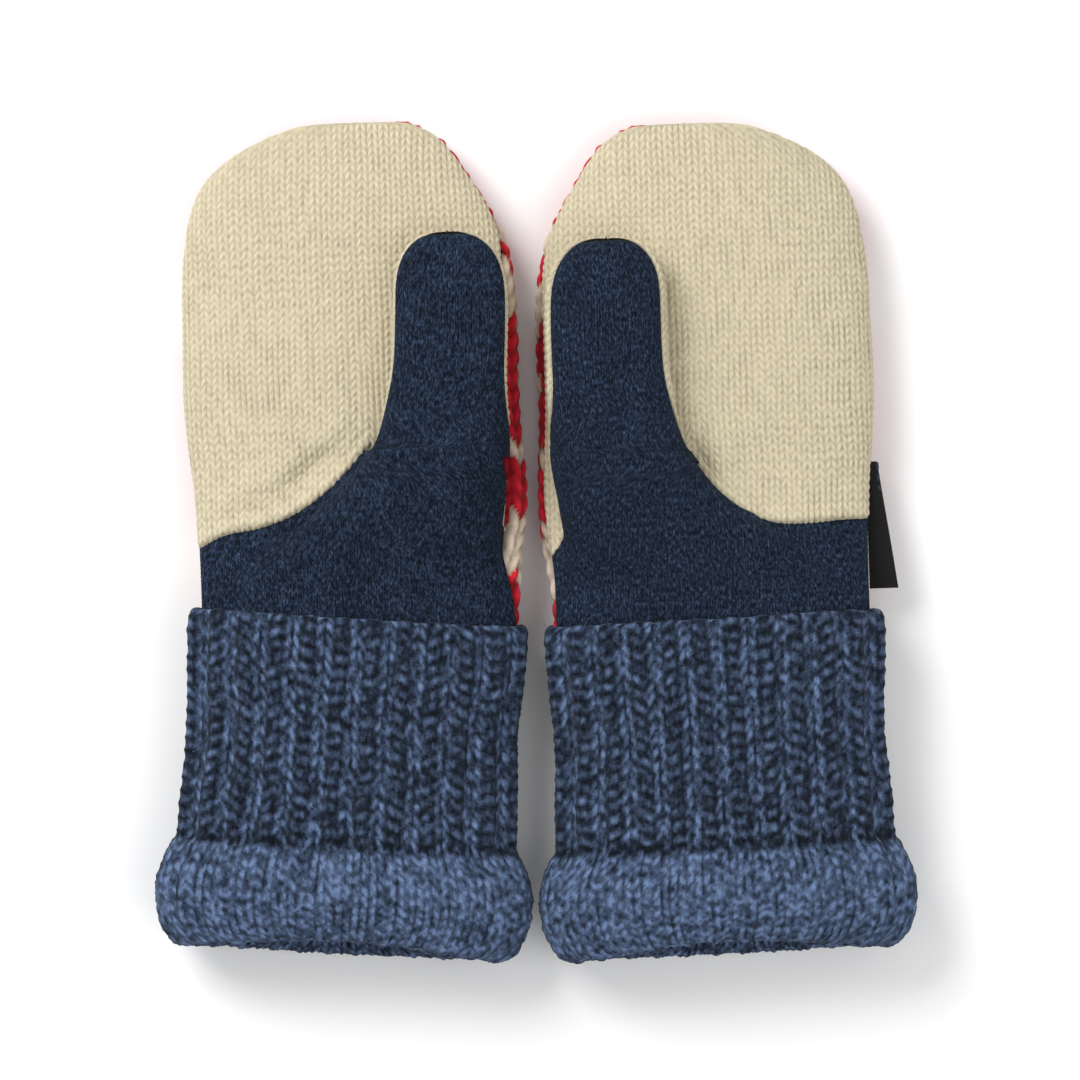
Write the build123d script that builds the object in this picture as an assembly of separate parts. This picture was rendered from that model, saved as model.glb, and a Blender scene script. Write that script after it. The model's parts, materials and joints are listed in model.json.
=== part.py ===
from build123d import *

import os
from functools import cache
from math import atan2, copysign, cos, degrees, hypot, pi, radians, sin

# A pair of cut-and-sewn knitted mittens, lying palm up with the fingertips towards +Y.
#
# Each mitten is an outer shell of knitted panels (back, upper palm, lower palm, thumb front and
# thumb back), a fleece lining cut from the same pattern, and a ribbed cuff tube that is turned back
# over itself. The fabric is thick, so every panel is a closed solid with its real wall.
# The cloth is split where it folds: at the wrist, across the finger joints and round the thumb.
# Millimetres. The origin is under the middle of the pair, on the surface that they lie on.
# One mitten is modelled with y = 0 at the cuff's top edge and the thumb towards +X.

# ---- driving dimensions ----
HAND_LENGTH = 180.0  # cuff edge to fingertip
HAND_WIDTH = 120.0  # widest, over the knuckles
HAND_DEPTH = 28.0  # plump thickness of the empty pocket
HAND_SWING = 1.9  # degrees that both hands swing towards -X
HAND_TUCK = 5.0  # how far the hand goes in the turned-back cuff, down to the wrist seam
THUMB_LENGTH = 77.0  # from where it comes free of the palm to its tip
THUMB_WIDTH = 40.0
THUMB_DEPTH = 19.0
THUMB_FOLD_Y = 60.0  # where the thumb comes free of the palm
THUMB_FOLD_X = 31.5  # middle of the thumb there
THUMB_FOLD_WIDTH = 50.0
CUFF_WIDTH = 123.5
CUFF_DEPTH = 36.0
CUFF_LENGTH = 122.0  # turned-back cuff, top edge to the bottom of the roll
ROLL_SWELL = 6.2  # how far the soft fold at the bottom stands out past the rib
CUFF_SPLAY = 3.0  # degrees that each cuff turns outwards from the middle of the pair
CUFF_WALL = 4.2  # thick ribbed wool
KNIT_WALL = 3.0  # sweater knit of the hand
LINING_WALL = 2.0  # fleece
MITTEN_SPACING = 128.0  # centre to centre of the two wrists
LABEL_REACH = 13.0  # how far the folded ribbon label stands out of the seam
LABEL_LENGTH = 46.0
LABEL_PLY = 0.35
LABEL_START = 9.0  # from the cuff's top edge
LABEL_GAP = 2.0  # between its sewn edge and the hand's widest side, so that it flaps freely
LABEL_TILT = 3.0  # degrees, its lower end further out
LABEL_STITCHES = 11
WRIST_STITCHES = 44  # round the sleeve's end

# ---- clearances and small sizes ----
LAYER_GAP = 0.3  # between one layer of cloth and the next
SEAM_GAP = 0.8  # between two panels, bridged by the seam's thread
FOLD_GAP = 0.8  # between two solids that move apart at a fold
SLIDE_GAP = 0.8  # round the sleeve, so that the turned-back cuff slides
TOP_FLARE = 3.0  # how much the turned-back cuff's top edge opens, for the hand to swing in it
THREAD = 1.0  # width of a sewn seam's thread
STITCH_DEPTH = 1.2  # how deep in the panels' edges the seam runs
STITCH_LENGTH = 2.4  # one stitch of the label
PRESS_FLAT = 0.7  # how much of the soft underside the surface flattens
OVERRUN = 6.0  # how far a hollow runs past the cut that opens it
FAR = 400.0  # past every side of one mitten

# ---- worked-out levels ----
HAND_Z = HAND_DEPTH / 2 - PRESS_FLAT
TIP_Z = 0.96 * HAND_Z
PALM_TOP = HAND_Z + HAND_DEPTH / 2
THUMB_Z = PALM_TOP + FOLD_GAP + THUMB_DEPTH / 2
FINGER_FOLD_Y = THUMB_FOLD_Y + THUMB_LENGTH + 2.5
CUFF_Z = (CUFF_DEPTH + ROLL_SWELL) / 2 - PRESS_FLAT
WRIST_WIDTH = CUFF_WIDTH - 2 * CUFF_WALL - 2 * SLIDE_GAP
WRIST_DEPTH = CUFF_DEPTH - 2 * CUFF_WALL - 2 * SLIDE_GAP
SLEEVE_END = CUFF_LENGTH - CUFF_WALL - 9.0
LINING_OUT = KNIT_WALL + LAYER_GAP
LINING_IN = LINING_OUT + LINING_WALL

SQUARENESS = 2.4  # superellipse power of every cross-section
SECTION_POINTS = 16

# The hand's outline from the cuff's edge to the fingertip: share of the length, share of the width,
# drift of its middle towards the thumb as a share of the width, and share of the depth.
HAND_STATIONS = [
    (0.235, 0.990, 0.012, 1.00),
    (0.430, 0.996, -0.005, 1.00),
    (0.630, 0.990, -0.005, 1.00),
    (0.755, 0.960, -0.008, 0.97),
    (0.836, 0.880, -0.022, 0.88),
    (0.885, 0.800, -0.022, 0.79),
    (0.930, 0.665, -0.006, 0.67),
    (0.962, 0.520, 0.015, 0.54),
    (0.988, 0.320, 0.036, 0.36),
    (1.000, 0.140, 0.045, 0.18),
]
# The thumb's root, which grows out of the lower palm: share of the way from the cuff's edge to the
# fold, of the drift to its middle there, of its extra width, of its climb, and share of the depth.
ROOT_STATIONS = [
    (0.00, 0.00, 1.00, 0.00, 1.20),
    (0.40, 0.33, 0.62, 0.28, 1.25),
    (0.70, 0.70, 0.27, 0.66, 1.16),
    (1.00, 1.00, 0.00, 1.00, 1.00),
]
ROOT_SPREAD = 25.4  # how much wider than at the fold the root is at the cuff's edge, each side
# The free thumb, which runs level: share of its length, middle from the mitten's middle and width
# as shares of its width, and share of its depth.
THUMB_STATIONS = [
    (0.280, 0.875, 1.03, 1.00),
    (0.650, 0.905, 0.98, 1.00),
    (0.840, 0.905, 0.88, 0.93),
    (0.940, 0.900, 0.69, 0.76),
    (0.985, 0.890, 0.44, 0.52),
    (1.000, 0.885, 0.20, 0.26),
]
# The turned-back cuff: share of its length from the top edge, and how far its outside stands out
# in multiples of the roll's swell. The roll is the soft fold at the bottom.
CUFF_STATIONS = [
    (0.00, -0.27),
    (0.02, -0.07),
    (0.07, 0.00),
    (0.35, 0.00),
    (0.62, 0.06),
    (0.74, 0.42),
    (0.85, 1.00),
    (0.93, 0.78),
    (0.98, 0.10),
    (1.00, -0.55),
]
# Its mouth: share of the way from the sleeve's end to the bottom, and how far it widens, in mm.
MOUTH_STATIONS = [(0.00, 0.0), (0.50, 0.0), (0.85, 2.0), (1.00, 4.5)]


def section(y, x, z, half_width, half_depth):
    """One rounded cross-section of a soft tube, as a wire across the Y axis."""
    plane = Plane(origin=(x, y, z), x_dir=(1, 0, 0), z_dir=(0, -1, 0))
    power = 2 / SQUARENESS
    points = []
    for i in range(SECTION_POINTS):
        c, s = cos(2 * pi * i / SECTION_POINTS), sin(2 * pi * i / SECTION_POINTS)
        across = half_width * copysign(abs(c) ** power, c)
        up = half_depth * copysign(abs(s) ** power, s)
        points.append(plane.from_local_coords((across, up)))
    return Wire([Edge.make_spline(points, periodic=True)])


def block(x=(-FAR, FAR), y=(-FAR, FAR), z=(-FAR, FAR)):
    """A box from its low and high sides."""
    size = (x[1] - x[0], y[1] - y[0], z[1] - z[0])
    middle = ((x[0] + x[1]) / 2, (y[0] + y[1]) / 2, (z[0] + z[1]) / 2)
    return Box(*size).moved(Location(middle))


@cache
def hand_pocket(inset):
    """The closed pocket for the fingers, this far inside its outer surface."""
    length = HAND_LENGTH - inset
    half_width, half_depth = HAND_WIDTH / 2 - inset, HAND_DEPTH / 2 - inset
    wires = []
    for y in (-HAND_TUCK - OVERRUN - inset / 3, 0):
        wires.append(section(y, 0, CUFF_Z, WRIST_WIDTH / 2 - inset, WRIST_DEPTH / 2 - inset))
    for along, wide, drift, deep in HAND_STATIONS:
        z = HAND_Z + (TIP_Z - HAND_Z) * along
        wires.append(section(along * length, drift * HAND_WIDTH, z, wide * half_width, deep * half_depth))
    return Solid.make_loft(wires)


@cache
def thumb_root(inset):
    """The wide root of the thumb, from the wrist to just past the fold."""
    stations = [*ROOT_STATIONS, (1 + OVERRUN / THUMB_FOLD_Y, 1.00, 0.00, 1.00, 1.00)]
    wires = []
    for along, drift, spread, climb, deep in stations:
        z = CUFF_Z + (THUMB_Z - CUFF_Z) * climb
        half_width = THUMB_FOLD_WIDTH / 2 + spread * ROOT_SPREAD - inset
        half_depth = deep * THUMB_DEPTH / 2 - inset
        wires.append(section(along * THUMB_FOLD_Y, drift * THUMB_FOLD_X, z, half_width, half_depth))
    return Solid.make_loft(wires)


@cache
def free_thumb(inset):
    """The thumb from just before the fold to its closed tip."""
    length = THUMB_LENGTH - inset
    half_width, half_depth = THUMB_WIDTH / 2 - inset, THUMB_DEPTH / 2 - inset
    fold_half_width = THUMB_FOLD_WIDTH / 2 - inset
    wires = []
    for before in (OVERRUN, 0):
        y = THUMB_FOLD_Y - before
        wires.append(section(y, THUMB_FOLD_X, THUMB_Z, fold_half_width, half_depth))
    for along, middle, wide, deep in THUMB_STATIONS:
        x, y = middle * THUMB_WIDTH, THUMB_FOLD_Y + along * length
        wires.append(section(y, x, THUMB_Z, wide * half_width, deep * half_depth))
    return Solid.make_loft(wires)


@cache
def hand_outside(inset):
    """Pocket and thumb root together, as far as the thumb's fold."""
    return hand_pocket(inset) + (thumb_root(inset) & block(y=(-FAR, THUMB_FOLD_Y - FOLD_GAP / 2)))


@cache
def hand_inside(inset):
    """The space inside them, which runs on past the fold so that it is open there."""
    return hand_pocket(inset) + thumb_root(inset)


@cache
def lower_palm_region(grow):
    """Prism over the lower palm and the thumb's root, bounded by the curved palm seam."""
    outer, edge_y = -HAND_WIDTH / 2, 0.145 * HAND_LENGTH
    inner = THUMB_FOLD_X - THUMB_FOLD_WIDTH / 2
    seam = Spline(
        (outer - 15, edge_y - 3 + grow),
        (outer + 25, edge_y + 5 + grow),
        (inner - 19 - grow, 0.70 * THUMB_FOLD_Y + grow),
        (inner - 1.5 - grow, THUMB_FOLD_Y),
    )
    below = -HAND_TUCK - 2 * OVERRUN
    corner = (HAND_WIDTH, THUMB_FOLD_Y + FOLD_GAP + grow)
    shoulder = (inner + OVERRUN, THUMB_FOLD_Y + FOLD_GAP + grow)
    rest = Polyline(seam @ 1, shoulder, corner, (HAND_WIDTH, below), (outer - 15, below), seam @ 0)
    return extrude(make_face([seam, rest]), amount=FAR)


def along_hand():
    return (-HAND_TUCK, FINGER_FOLD_Y - FOLD_GAP / 2)


def past_finger_fold():
    return (FINGER_FOLD_Y + FOLD_GAP / 2, FAR)


def above_seam(level):
    return (level + SEAM_GAP / 2, FAR)


def below_seam(level):
    return (0, level - SEAM_GAP / 2)


def in_seam(level):
    return (level - SEAM_GAP / 2, level + SEAM_GAP / 2)


def panels(outer, inner):
    """The back, the two palm panels and the two fingertip panels of one layer of cloth."""
    outside, hollow = hand_outside(outer), hand_inside(inner)
    pocket, room = hand_pocket(outer), hand_pocket(inner)
    palm = outside & block(y=along_hand(), z=above_seam(HAND_Z))
    return {
        "back": (outside & block(y=along_hand(), z=below_seam(HAND_Z))) - hollow,
        "upper_palm": palm - lower_palm_region(SEAM_GAP) - hollow,
        "lower_palm": (palm & lower_palm_region(0)) - hollow,
        "back_tip": (pocket & block(y=past_finger_fold(), z=below_seam(HAND_Z))) - room,
        "palm_tip": (pocket & block(y=past_finger_fold(), z=above_seam(HAND_Z))) - room,
    }


def seam_threads():
    """Threads in the side seam of the shell and of the lining, and in the curved palm seam."""
    fleece_depth = LINING_OUT + (LINING_WALL - THREAD) / 2
    threads = {}
    for name, y in (("side_seam_thread", along_hand()), ("side_seam_thread_tip", past_finger_fold())):
        runs = []
        for depth in (STITCH_DEPTH, fleece_depth):
            pocket = hand_pocket(depth) & block(y=y, z=in_seam(HAND_Z))
            runs += (pocket - hand_pocket(depth + THREAD)).solids()
        threads[name] = Compound(runs)
    palm_seam = lower_palm_region(SEAM_GAP) - lower_palm_region(0)
    seam = hand_outside(STITCH_DEPTH) & palm_seam & block(y=along_hand(), z=above_seam(HAND_Z))
    threads["palm_seam_thread"] = seam - hand_inside(STITCH_DEPTH + THREAD)
    return threads


def thumb_parts():
    """Front and back halves of the thumb, in knit and in fleece, and the thread between them."""
    free = (THUMB_FOLD_Y + FOLD_GAP / 2, FAR)
    made = {}
    for kind, outer, inner in (("thumb", 0, KNIT_WALL), ("thumb_lining", LINING_OUT, LINING_IN)):
        for half, z in (("front", above_seam(THUMB_Z)), ("back", below_seam(THUMB_Z))):
            cloth = free_thumb(outer) & block(y=free, z=z)
            made[f"{kind}_{half}"] = cloth - free_thumb(inner)
    seam = free_thumb(STITCH_DEPTH) & block(y=free, z=in_seam(THUMB_Z))
    made["thumb_seam_thread"] = seam - free_thumb(STITCH_DEPTH + THREAD)
    return made


def cuff_tube(stations):
    """A flattened tube along Y from (y, half width, half depth) stations."""
    return Solid.make_loft([section(y, 0, CUFF_Z, w, d) for y, w, d in stations])


def cuff_outside(inset):
    """The turned-back rib, with the swollen fold at its bottom end."""
    w, d = CUFF_WIDTH / 2 - inset, CUFF_DEPTH / 2 - inset
    stations = []
    for along, out in CUFF_STATIONS:
        stations.append((-CUFF_LENGTH * along, w + out * ROLL_SWELL, d + out * ROLL_SWELL / 2))
    return cuff_tube(stations)


def cuff_parts():
    """The cuff's inner sleeve, its turned-back outer layer with the roll, and their threads."""
    w, d = WRIST_WIDTH / 2, WRIST_DEPTH / 2
    wrist_end = -HAND_TUCK - FOLD_GAP - w * sin(radians(HAND_SWING + CUFF_SPLAY))
    middle = -SLEEVE_END / 2
    sleeve = cuff_tube([(y, w, d) for y in (wrist_end, middle, -SLEEVE_END)])
    bore_w, bore_d = w - CUFF_WALL, d - CUFF_WALL
    bore = cuff_tube([(y, bore_w, bore_d) for y in (OVERRUN, middle, -SLEEVE_END - OVERRUN)])
    room_w, room_d = w + SLIDE_GAP, d + SLIDE_GAP
    room = cuff_tube([(y, room_w, room_d) for y in (OVERRUN, middle, -SLEEVE_END - SLIDE_GAP)])
    flare = cuff_tube([(OVERRUN, room_w + TOP_FLARE, room_d + TOP_FLARE), (-OVERRUN, room_w, room_d)])
    to_bottom = CUFF_LENGTH - SLEEVE_END + 1.0
    mouth_start = 1.0 - SLEEVE_END
    stations = []
    for along, out in MOUTH_STATIONS:
        stations.append((mouth_start - (to_bottom + 1) * along, bore_w + out, bore_d + out))
    mouth = cuff_tube(stations)
    seam = block(x=(-FAR, 0), y=(-CUFF_LENGTH, OVERRUN), z=in_seam(CUFF_Z))
    turned = (cuff_outside(0) & block(z=(0, FAR))) - room - flare - mouth - seam
    stitched = cuff_outside(STITCH_DEPTH) & block(x=(-FAR, 0), z=in_seam(CUFF_Z))
    stitched &= block(y=(-0.8 * CUFF_LENGTH, -0.04 * CUFF_LENGTH))
    return {
        "cuff_sleeve": sleeve - bore,
        "wrist_seam_thread": wrist_stitches(wrist_end, w - CUFF_WALL / 2, d - CUFF_WALL / 2),
        "cuff_turnback": turned,
        "cuff_seam_thread": stitched - cuff_outside(STITCH_DEPTH + THREAD),
    }


def wrist_stitches(y, half_width, half_depth):
    """Even stitches round the middle of the sleeve's end, which tack the hand to the cuff."""
    power = 2 / SQUARENESS
    line = []
    for i in range(721):
        c, s = cos(2 * pi * i / 720), sin(2 * pi * i / 720)
        line.append((half_width * copysign(abs(c) ** power, c), half_depth * copysign(abs(s) ** power, s)))
    steps = [hypot(b[0] - a[0], b[1] - a[1]) for a, b in zip(line, line[1:])]
    pitch = sum(steps) / WRIST_STITCHES
    stitch = block(x=(-STITCH_LENGTH / 2, STITCH_LENGTH / 2), y=(y, y + FOLD_GAP / 2), z=(-THREAD / 2, THREAD / 2))
    stitches, travelled = [], 0.0
    for a, b, step in zip(line, line[1:], steps):
        travelled += step
        if travelled >= pitch * (len(stitches) + 0.5) and len(stitches) < WRIST_STITCHES:
            turn = -degrees(atan2(b[1] - a[1], b[0] - a[0]))
            stitches.append(stitch.moved(Location((a[0], 0, CUFF_Z + a[1]), (0, turn, 0))))
    return Compound(stitches)


def label_parts():
    """A ribbon folded in two, whose ends are sewn in the side seam by the little finger."""
    slit = 0.1
    depth = 2 * LABEL_PLY + slit
    ribbon = block(x=(-LABEL_REACH, 0), y=(0, LABEL_LENGTH), z=(-depth / 2, depth / 2))
    opened = (1.5 * LABEL_PLY - LABEL_REACH, 1)
    ribbon -= block(x=opened, y=(-1, LABEL_LENGTH + 1), z=(-slit / 2, slit / 2))
    stitch = block(x=(-2.2, -1.2), y=(0, STITCH_LENGTH), z=(depth / 2, depth / 2 + THREAD / 3))
    pitch = LABEL_LENGTH / LABEL_STITCHES
    stitches = []
    for i in range(LABEL_STITCHES):
        stitches.append(stitch.moved(Location((0, pitch * (i + 0.5) - STITCH_LENGTH / 2, 0))))
    place = Location(label_hinge(), (0, 0, -LABEL_TILT))
    return {"label": ribbon.moved(place), "label_stitches": Compound(stitches).moved(place)}


def label_hinge():
    """The lower end of the label's sewn edge, clear of the hand's side."""
    return (-HAND_WIDTH / 2 - LABEL_GAP, LABEL_START, HAND_Z)


def hand_parts():
    """Every piece past the cuff, by name."""
    made = panels(0, KNIT_WALL)
    made.update({f"lining_{name}": s for name, s in panels(LINING_OUT, LINING_IN).items()})
    made.update(seam_threads())
    made.update(thumb_parts())
    return made


def main():
    os.makedirs("parts", exist_ok=True)
    cuff, hand, label = cuff_parts(), hand_parts(), label_parts()
    place = Location((-MITTEN_SPACING / 2, (CUFF_LENGTH - HAND_LENGTH) / 2, 0))
    splayed = Location((0, 0, 0), (0, 0, -CUFF_SPLAY))
    for side, swing in (("right", HAND_SWING), ("left", -HAND_SWING)):
        nodes = {name: solid.moved(splayed) for name, solid in cuff.items()}
        swung = Location((0, 0, 0), (0, 0, swing))
        pieces = {**hand, **label} if side == "left" else hand
        nodes.update({name: solid.moved(swung) for name, solid in pieces.items()})
        for name, solid in nodes.items():
            solid = solid.moved(place)
            if side == "left":
                solid = solid.mirror(Plane.YZ)
            export_step(solid, f"parts/{side}_{name}.step")


if __name__ == "__main__":
    main()
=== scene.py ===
import json
import math

import bmesh
import bpy
import numpy as np
from bpy.props import FloatProperty, FloatVectorProperty, IntProperty, PointerProperty
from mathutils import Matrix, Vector, noise


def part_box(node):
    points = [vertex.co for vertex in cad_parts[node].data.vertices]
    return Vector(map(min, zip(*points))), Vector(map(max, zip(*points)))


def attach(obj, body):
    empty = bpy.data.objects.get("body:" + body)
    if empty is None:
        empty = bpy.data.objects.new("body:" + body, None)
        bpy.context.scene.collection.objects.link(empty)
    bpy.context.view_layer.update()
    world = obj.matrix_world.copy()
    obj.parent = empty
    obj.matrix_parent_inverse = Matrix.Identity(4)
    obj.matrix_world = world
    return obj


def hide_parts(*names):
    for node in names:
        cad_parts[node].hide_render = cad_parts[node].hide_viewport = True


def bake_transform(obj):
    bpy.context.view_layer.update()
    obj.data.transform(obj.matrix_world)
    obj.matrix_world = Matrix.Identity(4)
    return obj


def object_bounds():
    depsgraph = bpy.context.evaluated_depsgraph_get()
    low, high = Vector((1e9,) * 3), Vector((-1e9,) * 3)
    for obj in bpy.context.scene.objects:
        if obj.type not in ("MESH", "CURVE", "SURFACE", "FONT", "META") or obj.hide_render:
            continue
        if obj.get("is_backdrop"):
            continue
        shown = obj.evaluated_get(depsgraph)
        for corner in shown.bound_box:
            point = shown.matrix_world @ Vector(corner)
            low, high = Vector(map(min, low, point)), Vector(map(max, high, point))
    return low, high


bl_info = {
    "name": "Knitted mittens",
    "version": (1, 0, 0),
    "blender": (4, 5, 0),
    "location": "3D View > Sidebar > Mittens",
    "description": "Builds a pair of cut-and-sewn knitted mittens around their frame",
    "category": "Object",
}

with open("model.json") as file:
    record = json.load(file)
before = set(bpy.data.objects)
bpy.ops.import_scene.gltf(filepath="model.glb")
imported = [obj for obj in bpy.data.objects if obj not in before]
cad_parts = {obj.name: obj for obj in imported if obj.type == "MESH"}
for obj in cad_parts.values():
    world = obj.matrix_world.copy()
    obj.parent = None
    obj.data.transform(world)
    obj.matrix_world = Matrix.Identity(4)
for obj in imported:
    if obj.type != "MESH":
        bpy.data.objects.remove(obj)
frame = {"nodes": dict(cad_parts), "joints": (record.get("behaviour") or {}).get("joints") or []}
cad_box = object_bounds()

JOINTS = {j["name"]: j for j in frame["joints"]}
MM = 0.001
ROUND = 2.4  # superellipse power of the cross-sections
HAND_LENGTH = 180.0
HAND_SWING = 1.9  # degrees that both hands swing towards -X
CUFF_SPLAY = 3.0  # degrees that each cuff turns outwards
FINGER_FOLD = 139.5
THUMB_FOLD = 60.0
PALM_TOP = JOINTS["right_finger_fold"]["pos_m"][2] / MM
THUMB_TOP = JOINTS["right_thumb_lift"]["pos_m"][2] / MM
THUMB_TIP = 137.0
THUMB_DEPTH = 19.0
HAND_Z = PALM_TOP - 14.0
CUFF_Z = sum(c[2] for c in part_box("right_cuff_sleeve")) / 2 / MM


class Side:
    """One mitten: where its wrist is, and which way it is mirrored and turned."""

    def __init__(self, name):
        self.name = name
        self.mirror = 1 if name == "right" else -1
        self.wrist = np.array(JOINTS[f"{name}_wrist_fold"]["pos_m"][:2]) / MM
        self.swing = HAND_SWING * self.mirror
        self.roll = 27.0 if name == "right" else 7.0  # degrees that the back wraps to the palm side

    def body(self, part):
        return f"{self.name}_{part}"

    def to_world(self, points, turn):
        """Mitten millimetres, thumb towards +X, to metres in the frame."""
        a = math.radians(turn)
        x = points[..., 0] * math.cos(a) - points[..., 1] * math.sin(a)
        y = points[..., 0] * math.sin(a) + points[..., 1] * math.cos(a)
        x, y = self.wrist[0] + self.mirror * x, self.wrist[1] + y
        return np.stack([x, y, points[..., 2]], -1) * MM

    def hand(self, points):
        return self.to_world(np.asarray(points, float), self.swing)

    def cuff(self, points):
        return self.to_world(np.asarray(points, float), -CUFF_SPLAY)


SIDES = [Side("right"), Side("left")]


# ---- shaping ----
def smoothstep(low, high, x):
    t = np.clip((x - low) / (high - low), 0, 1)
    return t * t * (3 - 2 * t)


def track(knots, y):
    """A smooth line through a few (y, value) knots."""
    ky, kv = np.array(knots, float).T
    slopes = np.gradient(kv, ky)
    y = np.clip(y, ky[0], ky[-1])
    i = np.clip(np.searchsorted(ky, y) - 1, 0, len(ky) - 2)
    span = ky[i + 1] - ky[i]
    t = (y - ky[i]) / span
    a, b = kv[i], kv[i + 1]
    return ((2 * t**3 - 3 * t**2 + 1) * a + (t**3 - 2 * t**2 + t) * span * slopes[i]
            + (3 * t**2 - 2 * t**3) * b + (t**3 - t**2) * span * slopes[i + 1])


def rounding(start, end, power, y):
    """1 before start, falling like a superellipse to 0 at end."""
    t = np.clip((y - start) / (end - start), 0, 1)
    return (1 - t**power) ** (1 / power)


def oval(theta):
    """Points of a unit superellipse at these angles."""
    c, s = np.cos(theta), np.sin(theta)
    return np.sign(c) * np.abs(c) ** (2 / ROUND), np.sign(s) * np.abs(s) ** (2 / ROUND)


def soft_max(a, b, k):
    return (a + b + np.sqrt((a - b) ** 2 + k * k)) / 2


def soft_noise(points, scale, seed=0.0):
    """Smooth noise from -1 to 1 at millimetre points."""
    flat = points.reshape(-1, points.shape[-1]) / scale
    offset = Vector((seed, 2.3 * seed, 0.7 * seed))
    if flat.shape[1] == 2:
        flat = np.column_stack([flat, np.zeros(len(flat))])
    values = [noise.noise(Vector(p) + offset) for p in flat]
    return np.array(values).reshape(points.shape[:-1])


def cloth_noise(u, v, scale_u, scale_v, seed=0.0):
    return soft_noise(np.stack([u / scale_u, v / scale_v], -1), 1.0, seed)


# ---- the mitten's form, in its own millimetres ----
def pocket_section(y):
    """Middle x, middle z, half width and half depth of the hand pocket."""
    x = track([(-16, 0), (14, 0.5), (42, 1.4), (77, -0.8), (113, -0.8), (136, -1.3), (150, -2.8),
               (159, -3.2), (167, -1.2), (173, 1.6), (180, 5.0)], y)
    z = CUFF_Z + (HAND_Z - CUFF_Z) * smoothstep(0, 42, y)
    width = track([(-16, 56.0), (0, 56.6), (14, 57.0), (42, 59.0), (77, 59.8), (113, 59.5), (180, 59.5)], y)
    depth = 13 + smoothstep(0, 40, y)
    return x, z, width * rounding(110, HAND_LENGTH, 2.4, y), depth * rounding(112, HAND_LENGTH + 1, 2.3, y)


def seam_lift(side, y):
    """Angle of the side seam on the thumb's side, where the back panel wraps round to the palm."""
    return math.radians(side.roll) * smoothstep(-6, 25, y) * (1 - smoothstep(105, 150, y))


def thumb_section(y):
    """Middle x, half width and top of the thumb and its root."""
    x = track([(-16, 0), (0, 2), (24, 11), (42, 22), (60, 31.5), (81, 34.8), (110, 36.2), (137, 35.6)], y)
    width = track([(-16, 50), (0, 49), (24, 41), (42, 32), (60, 25), (81, 20.6), (110, 19.6), (137, 19.4)], y)
    top = track([(-16, 26), (0, 30.5), (24, 37.5), (42, 43.5), (60, THUMB_TOP), (137, THUMB_TOP)], y)
    return x, width * rounding(113, THUMB_TIP, 2.5, y), top


def pocket_height(x, y):
    """Height of the pocket's palm side."""
    cx, cz, w, d = pocket_section(y)
    q = np.clip(np.abs((x - cx) / np.maximum(w, 1e-6)), 0, 1)
    return cz + d * (1 - q**ROUND) ** (1 / ROUND)


def palm_height(x, y):
    """Height of the palm with the thumb's root grown out of it."""
    tx, tw, top = thumb_section(y)
    middle = track([(-16, 16), (0, 18), (24, 22), (42, 25.5), (60, 27.5)], y)
    q = np.abs((x - tx) / tw)
    beyond = np.where(x > tx, 6.0, 1.1) * np.maximum(np.abs(x - tx) - tw, 0)
    dome = middle - beyond + (top - middle) * (1 - np.minimum(q, 1) ** ROUND) ** (1 / ROUND)
    return soft_max(pocket_height(x, y), dome, 1.2 + 6.8 * smoothstep(tx + 6, tx - 16, x))


def root_edge(y):
    """The x where the navy ends on the thumb's side: at the side seam by the cuff, then at the root."""
    cx, cz, w, d = pocket_section(y)
    tx, tw, top = thumb_section(np.minimum(y, THUMB_FOLD))
    at_root = smoothstep(16, 34, y)
    return (tx + tw + 0.7) * at_root + (cx + w + 4) * (1 - at_root)


def palm_profile(side, y, height):
    """Dense cross-section of the palm side, from the outer side seam to the thumb's side seam."""
    cx, cz, w, d = pocket_section(y)
    lift = seam_lift(side, y)
    theta = np.linspace(math.pi, lift, 661)
    ox, oz = oval(theta)
    x = cx + w * ox
    z = cz + d * oz
    if height is not None:
        z = np.maximum(z, height(x, y))
    return np.stack([x, np.full_like(x, y), z], -1)


def back_profile(side, y):
    """Dense cross-section of the back, from the thumb's side seam round below to the outer one."""
    cx, cz, w, d = pocket_section(y)
    theta = np.linspace(seam_lift(side, y), -math.pi, 261)
    ox, oz = oval(theta)
    z = cz + d * oz
    z = np.where(z < 1.2, 1.2 + (z - 1.2) * 0.25, z)
    return np.stack([cx + w * ox, np.full_like(ox, y), z], -1)


def resampled(profile, count):
    """Even points along a profile, and how far along it each is from x = 0."""
    steps = np.linalg.norm(np.diff(profile, axis=0), axis=1)
    arc = np.concatenate([[0], np.cumsum(steps)])
    wanted = np.linspace(0, arc[-1], count + 1)
    points = np.stack([np.interp(wanted, arc, profile[:, k]) for k in range(3)], -1)
    order = np.argsort(profile[:, 0])
    zero = np.interp(0.0, profile[order, 0], arc[order])
    return points, wanted - zero


def even_ring(ring, count):
    """Even points round a closed cross-section."""
    steps = np.linalg.norm(np.diff(ring[:, [0, 2]], axis=0), axis=1)
    arc = np.concatenate([[0], np.cumsum(steps)])
    wanted = np.linspace(0, arc[-1], count + 1)
    return np.stack([np.interp(wanted, arc, ring[:, k]) for k in range(3)], -1)


def surface(ys, profile_at, count):
    """Rows of even points for each y, with their sideways cloth positions."""
    rows = [resampled(profile_at(y), count) for y in ys]
    return np.array([r[0] for r in rows]), np.array([r[1] for r in rows])


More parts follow.
